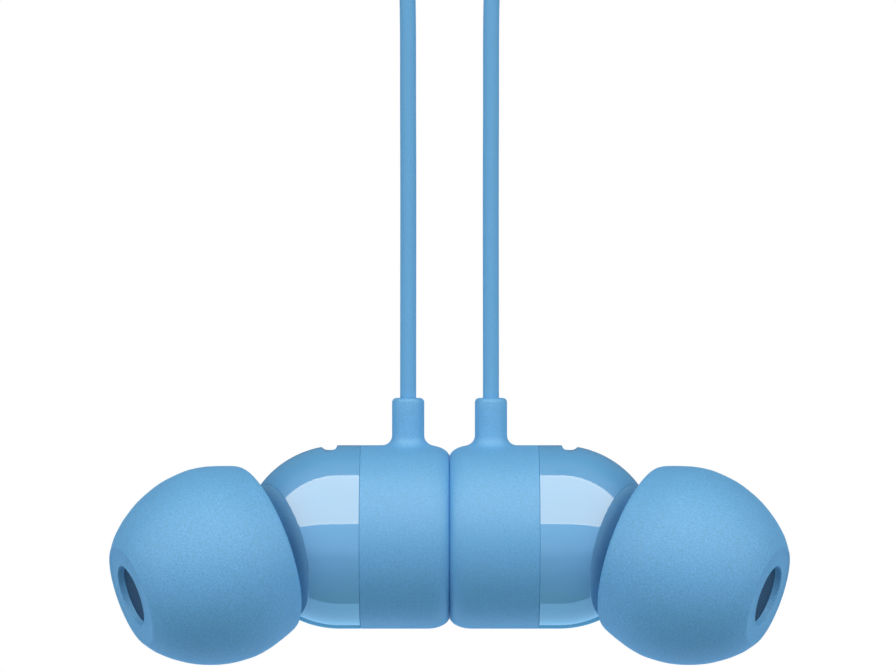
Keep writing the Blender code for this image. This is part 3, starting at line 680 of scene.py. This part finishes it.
def ear_tip():
    """A double-walled tip: a dome-shaped skirt, and the sleeve inside it that grips the nozzle."""
    front, under, bore = TIP_FRONT, TIP_FRONT - TIP_LIP, NOZZLE_RADIUS + 0.3
    mouth = [(bore, under), (TIP_HOLE - 0.03, under), (TIP_HOLE, under + 0.05)]
    mouth += arc((TIP_HOLE + 0.08, front - 0.08), 0.08, 0.08, 180, 60, 6)
    flat = [(2.3, front - 0.06), (2.7, front - 0.07), (3.1, front - 0.07), (3.22, front - 0.055),
            (3.32, front - 0.01), (3.39, front), (3.46, front - 0.02)]
    skirt = curved([(3.53, front - 0.065), (4.03, front - 0.45), (4.45, front - 0.85), (5.12, front - 1.69),
                    (5.86, front - 2.96), (6.44, front - 4.65), (6.63, front - 6.35), (6.52, front - 7.5),
                    (6.27, front - 8.46), (6.03, front - 9.2), (5.88, front - 9.6)], per_span=8)
    rim = curved([(5.88, front - 9.6), (5.72, front - 9.84), (5.52, front - 9.86), (5.44, front - 9.66)], 4)
    inside = curved([(5.44, front - 9.66), (5.74, front - 8.8), (6.03, front - 7.4), (6.13, front - 6.2),
                     (5.95, front - 4.6), (5.4, front - 3.0), (4.7, front - 1.95), (4.1, front - 1.75),
                     (3.5, front - 2.1)], 5)
    sleeve = [(3.4, front - 2.6), (3.4, 4.3), (3.3, 4.2), (bore + 0.1, 4.2), (bore, 4.3)]
    profile = mouth + flat + skirt + rim[1:] + inside[1:] + sleeve
    piece = shaded("ear_tip", moved(turned(profile), NOZZLE_PLACE), sharp=35)
    both_sides(piece, TIP, "tip", "tip_silicone", "ear_tip", "silicone_tip")
    for side in ("left", "right"):  # the photo's domes show the softbox up to their rims, with no tip in it
        bpy.data.objects[side + "_silicone_tip"].visible_glossy = False


# ---------------------------------------------------------------- pods


def pod_place():
    """The left pod's frame: its Y is the way its button goes in, and its Z is away from the port's face."""
    back = Vector(JOINTS["power_button_press"]["axis"]).normalized()
    up = -Vector(MOUNTS["charge_port_face"]["axis"]).normalized()
    turn = Matrix((back.cross(up), back, up)).transposed()
    centre = Vector(MOUNTS["charge_port_face"]["pos_m"]) - turn @ (BEZEL_POINT * MM)
    return Matrix.Translation(centre) @ turn.to_4x4()


POD_PLACE = pod_place()


def bar(size, corner, edge, top_share, inset=0.0):
    """A tapering bar with rounded corners and ends. inset shrinks it all over."""
    width, depth, height = (s - 2 * inset for s in size)
    corner = max(0.3, corner - inset)
    rings = []
    half = height / 2

    def section(z, pull):
        share = 1 + (top_share - 1) * (z + half) / height
        return [Vector((p.x * share, p.y * share, z)) for p in
                outline(width - 2 * pull, depth - 2 * pull, max(0.25, corner - pull), z)]

    ends = [math.pi / 2 * k / 6 for k in range(7)]
    rings += [section(-half + edge * (1 - math.sin(a)), edge * (1 - math.cos(a))) for a in reversed(ends)]
    rings += [section(-half + edge + (height - 2 * edge) * k / 24, 0) for k in range(1, 24)]
    rings += [section(half - edge * (1 - math.sin(a)), edge * (1 - math.cos(a))) for a in ends]
    return lofted(rings)


def block(size, at):
    bm = bmesh.new()
    bmesh.ops.create_cube(bm, size=1)
    bmesh.ops.scale(bm, vec=Vector(size) * MM, verts=bm.verts)
    return moved(bm, shift(at))


def upright(radius, length, at, steps=48):
    return moved(lofted([circle(radius, -length / 2, steps), circle(radius, length / 2, steps)]),
                 shift(at))


def facing_front(bm, at):
    """Turns a shape drawn in X and Y, with its front at +Z, to face local -Y at this point."""
    return moved(bm, shift(at) @ Matrix.Rotation(math.pi / 2, 4, "X"))


def key_hole(cap, at, depth=6.0):
    grown = (cap[0] + 0.3, cap[1] + 0.3)
    return facing_front(lofted([outline(*grown, 2.0, -depth / 2), outline(*grown, 2.0, depth / 2)]), at)


def key_piece(cap, at, front, flange_front, stem_end):
    """A push key with a crowned, soft-edged cap, the flange that keeps it in, and its stem. at is (x, z)."""
    width, height = cap
    edge = 0.28

    def ring(pull, y):
        return outline(width - 2 * pull, height - 2 * pull, max(0.15, KEY_CORNER - pull), -y)

    crown = [(0.55, 0.03), (1.0, 0.0), (1.6, -0.02), (2.2, -0.03)]
    rings = [outline(1.8, 1.8, 0.9, -stem_end), outline(1.8, 1.8, 0.9, -(flange_front + 0.4)),
             outline(width + 0.8, height + 0.8, 2.1, -(flange_front + 0.4)),
             outline(width + 0.8, height + 0.8, 2.1, -flange_front), ring(0, flange_front),
             ring(0, front + edge)]
    for k in range(1, 6):
        a = math.pi / 2 * k / 5
        rings.append(ring(edge * (1 - math.cos(a)), front + edge * (1 - math.sin(a)) + 0.05))
    rings += [ring(pull, front + dip) for pull, dip in crown]
    return facing_front(lofted(rings), (at[0], 0, at[1]))


def covers(names, size, wall, corner, edge, top_share, place, openings, bevel=0.14):
    """Two shells that meet on the bar's middle plane. openings has each shell's own cutters, front first."""
    made = []
    width, depth, height = size
    for name, facing, own in zip(names, (-1, 1), openings):
        reach = depth + 4
        away = block((width + 6, reach, height + 6), (0, -facing * (reach / 2 - SHELL_GAP / 2), 0))
        hollow = bar(size, corner, max(0.3, edge - wall), top_share, inset=wall)
        piece = cut(name, bar(size, corner, edge, top_share), [hollow, away, *own], bevel=bevel)
        piece.data.transform(place)
        made.append(piece)
    return made


def pod(side):
    """A pod's two covers. The right pod has the left one's mirror images, with no port, key or light."""
    half, front = POD_SIZE[2] / 2, -POD_SIZE[1] / 2

    def shared():
        return [upright(2.55, 8, (0, 0, half)), upright(1.35, 8, (0, -RELIEF_FORWARD, -half))]

    def port():
        grown = (PORT_SIZE[0] + 0.4, PORT_SIZE[1] + 0.4)
        return moved(lofted([outline(*grown, 1.7, -3), outline(*grown, 1.7, 3)]),
                     shift((0, PORT_BACK, -half)))

    front_own, back_own = shared(), shared()
    if side == "left":
        front_own += [port(), key_hole(POWER_KEY_SIZE, (0, front, POWER_KEY_AT)),
                      facing_front(lofted([circle(0.7, -3, 32), circle(0.7, 3, 32)]), (0, front, LED_AT))]
        back_own += [port()]
    names = [f"{side}_pod_front", f"{side}_pod_back"]
    made = covers(names, POD_SIZE, POD_WALL, POD_CORNER, POD_EDGE, POD_TOP_SHARE, POD_PLACE,
                  (front_own, back_own))
    nodes = [f"{side}_module_front_cover", f"{side}_module_back_cover"]
    for piece, name, node in zip(made, names, nodes):
        if side == "right":
            left = piece
            piece = mirror_image(left, name + "_right")
            bpy.data.objects.remove(left, do_unlink=True)
            piece.name = name
        finished(piece, SHELL, f"{side}_arm", "soft_touch_plastic", node)


def marked(mark, key):
    """Gives a raised mark its material and the key that it rides on."""
    mark.data.materials.append(MARK)
    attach(mark, key)


def power_button():
    front = -POD_SIZE[1] / 2
    bm = key_piece(POWER_KEY_SIZE, (0, POWER_KEY_AT), front - 0.1, front + 1.8, -2.6)
    piece = shaded("power_key_cap", moved(bm, POD_PLACE))
    finished(piece, SHELL, "power_key", "soft_touch_plastic", "power_button")
    ring = [(1.15, 0.0), (1.15, 0.09), (1.02, 0.12), (0.89, 0.09), (0.89, 0.0)]
    mark = moved(turned(ring, 40), shift((0, 0, -front + 0.04)))
    mark = shaded("power_key_ring", moved(facing_front(mark, (0, 0, POWER_KEY_AT)), POD_PLACE))
    marked(mark, "power_key")


def ribbed(points, count, start, end, depth):
    """A tapering profile through the points, with this many round grooves between two heights."""
    line = curved(points, per_span=14)
    made = []
    for r, h in line:
        share = (h - start) / (end - start)
        if 0 < share < 1:
            r -= depth * (0.5 - 0.5 * math.cos(2 * math.pi * count * share)) ** 2
        made.append((r, h))
    return made


def pod_reliefs():
    half = POD_SIZE[2] / 2
    outer = ribbed([(BAND_RADIUS + 0.03, half + FERRULE_LENGTH), (BAND_RADIUS + 0.1, half + 7),
                    (BAND_RADIUS + 0.4, half + 4), (3.5, half + 1.5), (3.75, half + 0.12)],
                   3, half + 7.6, half + 2.2, 0.16)
    profile = outer + [(2.4, half + 0.1), (2.4, half - 2.2), (1.0, half - 2.2), (1.0, half + FERRULE_LENGTH)]
    piece = shaded("ferrule", moved(turned(profile, 64), POD_PLACE))
    both_sides(piece, BAND, "arm", "band_silicone", "band_ferrule", "band_collar")

    inner = CORD_DIAMETER / 2 + 0.02
    outer = ribbed([(1.75, -0.12), (1.66, -0.9), (1.25, -3.0), (0.95, -5.5), (0.8, -RELIEF_LENGTH)],
                   5, -0.7, -7.2, 0.12)
    profile = [(1.2, 2.2), (1.2, -0.1), *outer, (inner, -RELIEF_LENGTH), (inner, 2.2)]
    at = POD_PLACE @ shift((0, -RELIEF_FORWARD, -half))
    piece = shaded("relief", moved(turned(profile, 40), at))
    both_sides(piece, CORD, "arm", "cord_rubber", "cord_relief", "cord_boot")


# ---------------------------------------------------------------- the remote


CORD_LINE = smooth_line(CORD_ROUTE)
CORD_LENGTH = length_of(CORD_LINE)
REMOTE_MIDDLE = length_of(CORD_LINE[:REMOTE_POINT * SPAN_STEPS + 1])


def remote_place():
    centre, down = point_at(CORD_LINE, REMOTE_MIDDLE)
    back = Vector(JOINTS["play_press"]["axis"]).normalized()
    back = (back + down * -down.dot(back)).normalized()
    turn = Matrix((back.cross(-down), back, -down)).transposed()
    return Matrix.Translation(centre * MM) @ turn.to_4x4()


REMOTE_PLACE = remote_place()
KEYS = {"volume_up": (KEY_PITCH, "plus"), "play": (0.0, "dot"), "volume_down": (-KEY_PITCH, "minus")}


def key_mark(kind, at, front):
    """A raised plus, minus or dot on a key's face."""
    arm, thick, rise, gap = 0.95, 0.17, 0.1, 0.02

    def stroke(width, height, corner, top):
        return lofted([outline(width, height, corner, z, shrink=s)
                       for z, s in ((0, 1), (rise * 0.7, 1), (rise, top))])

    if kind == "dot":
        bm = lofted([circle(0.45, 0, 32), circle(0.45, rise * 0.7, 32), circle(0.36, rise, 32)])
    else:
        bm = stroke(2 * arm, 2 * thick, 0.12, 0.94)
    if kind == "plus":
        length = arm - thick - gap
        for way in (-1, 1):
            part = stroke(2 * thick, length, 0.1, 0.96)
            moved(part, shift((0, way * (thick + gap + length / 2), 0)))
            extra = bpy.data.meshes.new("part")
            part.to_mesh(extra)
            part.free()
            bm.from_mesh(extra)
            bpy.data.meshes.remove(extra)
    moved(bm, shift((0, 0, -front)))
    return facing_front(bm, (at[0], 0, at[1]))


def remote_keys():
    """The three keys and their marks, by name."""
    front = -REMOTE_SIZE[1] / 2
    names = []
    for name, (z, kind) in KEYS.items():
        bm = key_piece(KEY_SIZE, (0, z), front - KEY_PROUD, front + REMOTE_WALL + 0.2, -0.5)
        cap = shaded(name + "_cap", moved(bm, REMOTE_PLACE))
        finished(cap, SHELL, name + "_key", "soft_touch_plastic", name + "_button")
        mark = shaded(name + "_mark", moved(key_mark(kind, (0, z), front - KEY_PROUD + 0.03), REMOTE_PLACE))
        marked(mark, name + "_key")
        names += [cap.name, mark.name]
    return names


def remote_boots():
    """The two ribbed boots where the cord enters the remote, by name."""
    inner = CORD_DIAMETER / 2 + 0.05
    outer = ribbed([(1.9, 0.12), (1.55, 1.5), (1.05, 3.8), (0.88, 5.5), (0.8, REMOTE_RELIEF)],
                   4, 1.0, 6.2, 0.1)
    profile = [*reversed(outer), (0.75, 0.1), (0.75, -0.8), (inner, -0.8), (inner, REMOTE_RELIEF)]
    names = []
    for end, up in (("upper", 1), ("lower", -1)):
        turn = Matrix.Identity(4) if up > 0 else Matrix.Rotation(math.pi, 4, "X")
        at = REMOTE_PLACE @ shift((0, 0, up * REMOTE_SIZE[2] / 2)) @ turn
        boot = shaded("remote_boot_" + end, moved(turned(profile, 40), at))
        finished(boot, CORD, "left_bud", "cord_rubber", f"remote_{end}_relief")
        names.append(boot.name)
    return names


def remote():
    """The remote's two shells, its keys and its boots, by name. They ride on the left bud's cord."""
    front = -REMOTE_SIZE[1] / 2

    def shared():
        return [upright(0.88, REMOTE_SIZE[2] + 6, (0, 0, 0), 32)]

    front_own = shared() + [key_hole(KEY_SIZE, (0, front, z), 4.0) for z, _ in KEYS.values()]
    microphone_hole = lofted([circle(0.45, -2, 24), circle(0.45, 2, 24)])
    front_own.append(facing_front(microphone_hole, (0, front, MICROPHONE_AT)))
    made = covers(["remote_shell_front", "remote_shell_back"], REMOTE_SIZE, REMOTE_WALL, REMOTE_CORNER,
                  REMOTE_EDGE, 1.0, REMOTE_PLACE, (front_own, shared()), bevel=0.10)
    for piece, node in zip(made, ("remote_front_shell", "remote_back_shell")):
        finished(piece, SHELL, "left_bud", "soft_touch_plastic", node)
    return [piece.name for piece in made] + remote_keys() + remote_boots()


# ---------------------------------------------------------------- cords and band


def cord_piece(name, start, end, mirrored, nodes, bodies, **facts):
    """A cord from start to end along the route. Where two bodies are given, it rides on neither."""
    line = stretch(CORD_LINE, start, end, CORD_STEP)
    if end == CORD_LENGTH:
        line.append(line[-1] + (line[-1] - line[-2]).normalized() * CORD_INTO)
    if mirrored:
        line = [Vector((-p.x, p.y, p.z)) for p in line]
    piece = shaded(name, tube(line, CORD_DIAMETER / 2, 20))
    piece.data.materials.append(CORD)
    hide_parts(*nodes)
    if len(bodies) == 2:
        drop = point_at(line, CORD_BEND)[0] * MM
        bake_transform(piece)
    else:
        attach(piece, bodies[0])
    return piece


def cords(remote_pieces):
    """The left cord, which the remote parts in two and hangs on, and the right cord in one length."""
    reach = REMOTE_SIZE[2] / 2 + REMOTE_RELIEF
    extras = [bpy.data.objects[name] for name in remote_pieces]
    extras += [frame["nodes"][name] for name in ("remote_circuit_board", "microphone_capsule")]
    cord_piece("left_cord_above_remote", 0, REMOTE_MIDDLE - reach + CORD_INTO, False, ["left_upper_cord"],
               ("left_arm", "left_bud"), far_end="fitting", with_pieces=extras)
    cord_piece("left_cord_below_remote", REMOTE_MIDDLE + reach - CORD_INTO, CORD_LENGTH, False,
               ["left_lower_cord"], ("left_bud",), far_end="object")
    cord_piece("right_cord_whole", 0, CORD_LENGTH, True, ["right_cord"], ("right_arm", "right_bud"),
               far_end="object")


def band():
    """Each half runs from the middle of the back to its pod, across the flex hinge."""
    down = -(POD_PLACE.to_3x3() @ Vector((0, 0, 1)))
    end = POD_PLACE.translation / MM - down * (POD_SIZE[2] / 2 + FERRULE_LENGTH)
    before = (-BAND_ROUTE[1][0], *BAND_ROUTE[1][1:])
    line = smooth_line([*BAND_ROUTE, end - down * BAND_STRAIGHT, end], before=before)
    start, stop = point_at(line, FLEX_AT - FLEX_REACH)[0], point_at(line, FLEX_AT + FLEX_REACH)[0]
    route = stretch(line, 0, length_of(line) - 0.05, BAND_STEP)
    route[0] = Vector((0, route[0].y, route[0].z))
    left = shaded("left_band_half", tube(route, BAND_RADIUS, 48))
    right = mirror_image(left, "right_band_half")
    for side, piece, way in (("left", left, 1), ("right", right, -1)):
        piece.data.materials.append(BAND)
        nodes = [f"neckband_sleeve_{side}"] + (["neckband_sleeve_back"] if side == "left" else [])
        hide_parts(*nodes)
        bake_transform(piece)


# ---------------------------------------------------------------- the CAD's own pieces


def carried_over():
    """The CAD nodes whose shape stays get their materials."""
    looks = {
        "memory_wire": WIRE, "clasp_magnet": NICKEL, "driver_magnet": NICKEL, "driver_basket": DARK,
        "diaphragm": FILM, "vent_screen": SCREEN, "circuit_board": BOARD,
        "protection_board": BOARD, "shield_can": STEEL, "dome_switch": STEEL, "usb_c_receptacle": STEEL,
        "microphone_capsule": STEEL, "usb_port_bezel": DARK, "battery_cell": FOIL, "status_led_lens": LENS,
    }
    for name, node in frame["nodes"].items():
        for part, look in looks.items():
            if part in name:
                node.data.materials.clear()
                node.data.materials.append(look)


# ---------------------------------------------------------------- camera, lights and background


def camera():
    """The photograph's view: level, square to the clasp plane's edge, a little above the buds' axis."""
    view = bpy.data.cameras.new("camera")
    view.sensor_width = 36
    view.lens = CAMERA_LENS
    view.clip_start = 0.01
    view.clip_end = 20
    made = added("camera", view)
    made.location = BUD + CAMERA_FROM_BUD * MM
    made.rotation_euler = (math.pi / 2, 0, 0)
    bpy.context.scene.camera = made


def glow(name):
    """Plain light whose colour and strength are the mesh's own "light" attribute."""
    made = bpy.data.materials.new(name)
    made.use_nodes = True
    tree = made.node_tree
    tree.nodes.clear()
    colour = tree.nodes.new("ShaderNodeAttribute")
    colour.attribute_name = "light"
    light = tree.nodes.new("ShaderNodeEmission")
    tree.links.new(colour.outputs["Color"], light.inputs["Color"])
    out = tree.nodes.new("ShaderNodeOutputMaterial")
    tree.links.new(light.outputs["Emission"], out.inputs["Surface"])
    return made


def lit(piece, colours):
    """Gives each vertex its light, in red, green and blue."""
    light = piece.data.attributes.new("light", "FLOAT_COLOR", "POINT")
    for spot, colour in zip(light.data, colours):
        spot.color = (*colour, 1)
    piece.data.materials.append(glow(piece.name))


def arched_panel(name, spread, profile):
    """A softbox bent round the object: a strip of a sphere, which the camera doesn't see.

    profile is (angle, light) pairs, with the light changing evenly between them. Angles are degrees round
    the buds' axis: 0 is the camera's side, 90 overhead, 180 behind and -90 below. spread is its reach aside.
    """
    columns = LIGHTS_COLUMNS
    bm = bmesh.new()
    grid, colours = [], []

    def row(angle, light):
        turn = math.radians(angle)
        for c in range(columns + 1):
            aside = math.radians(spread * (2 * c / columns - 1))
            level = math.cos(aside)
            away = Vector((math.sin(aside), -level * math.cos(turn), level * math.sin(turn)))
            grid.append(bm.verts.new(BUD + away * LIGHTS_AWAY))
            colours.append(light)

    for (start, first), (end, last) in zip(profile, profile[1:]):
        count = math.ceil((end - start) / LIGHTS_STEP)
        for k in range(count):
            row(start + (end - start) * k / count, Vector(first).lerp(Vector(last), k / count))
    row(*profile[-1])
    for corner in range(len(grid) - columns - 1):
        if (corner + 1) % (columns + 1):
            bm.faces.new([grid[corner + k] for k in (0, 1, columns + 2, columns + 1)])
    made = shaded(name, bm)
    lit(made, colours)
    made.visible_camera = made.visible_shadow = False
    return made


def background():
    """A pale floor well below the hanging object, and a pale surround. Only the camera sees them."""
    bpy.ops.mesh.primitive_plane_add(size=FLOOR_SIZE, location=(0, 0, FLOOR_AT))
    floor = bpy.context.object
    floor.name = "floor"
    bpy.ops.mesh.primitive_uv_sphere_add(segments=48, ring_count=24, radius=SURROUND_RADIUS)
    around = bpy.context.object
    around.name = "surround"
    for made in (floor, around):
        lit(made, [(1, 1, 1)] * len(made.data.vertices))
        for kind in ("diffuse", "glossy", "transmission", "volume_scatter", "shadow"):
            setattr(made, "visible_" + kind, False)

    world = bpy.data.worlds.new("studio")
    bpy.context.scene.world = world
    world.use_nodes = True
    sky = world.node_tree.nodes["Background"]
    sky.inputs["Color"].default_value = (1, 1, 1, 1)
    sky.inputs["Strength"].default_value = WORLD_STRENGTH


def grey(*profile):
    """A panel's profile in neutral light, from (angle, strength) pairs."""
    return [(angle, (strength,) * 3) for angle, strength in profile]


def lights():
    """Matte surfaces take a soft graded light, and glossy ones reflect a large softbox with crisp edges."""
    soft = {
        "soft_above": grey((-50, 0.30), (-15, 0.48), (0, 0.72), (15, 1.15), (35, 1.60), (60, 1.50), (75, 1.0),
                           (90, 0.15)),
        "soft_below": grey((-180, 1.62), (-150, 1.80), (-130, 1.40), (-105, 0.22)),
        "soft_behind": grey((105, 0.3), (180, 0.3)),
    }
    for name, profile in soft.items():
        arched_panel(name, 68, profile).visible_glossy = False

    frame_light, pane_light, floor_light, back_light = (
        (5.2, 4.9, 4.2), (4.45, 4.14, 3.45), (0.12, 0.45, 0.80), (0.14, 0.26, 0.40))
    crisp = {
        "gloss_window": [(18.5, frame_light), (20, frame_light), (20.5, pane_light), (84, pane_light),
                         (84.5, frame_light), (86, frame_light)],
        "gloss_front": [(-90, (0.34, 0.86, 1.15)), (-50, (0.34, 0.55, 0.88)), (-26, (0.46, 0.62, 0.98)),
                        (-12, (0.80, 1.15, 1.62)), (18.5, (0.90, 1.28, 1.80))],
        "gloss_floor": [(-180, floor_light), (-146, floor_light), (-143, (0.85, 1.75, 2.66)),
                        (-90, (0.85, 1.85, 2.80))],
        "gloss_back": [(86, (0.66, 0.64, 0.72)), (105, (0.40, 0.44, 0.52)), (120, back_light),
                       (180, back_light)],
    }
    for name, profile in crisp.items():
        arched_panel(name, 85, profile).visible_diffuse = False


def main():
    bpy.context.scene.view_settings.view_transform = "Standard"
    camera()
    background()
    lights()
    rear_housing()
    front_housing()
    nozzle()
    ear_tip()
    pod("left")
    pod("right")
    power_button()
    pod_reliefs()
    cords(remote())
    band()
    carried_over()


main()
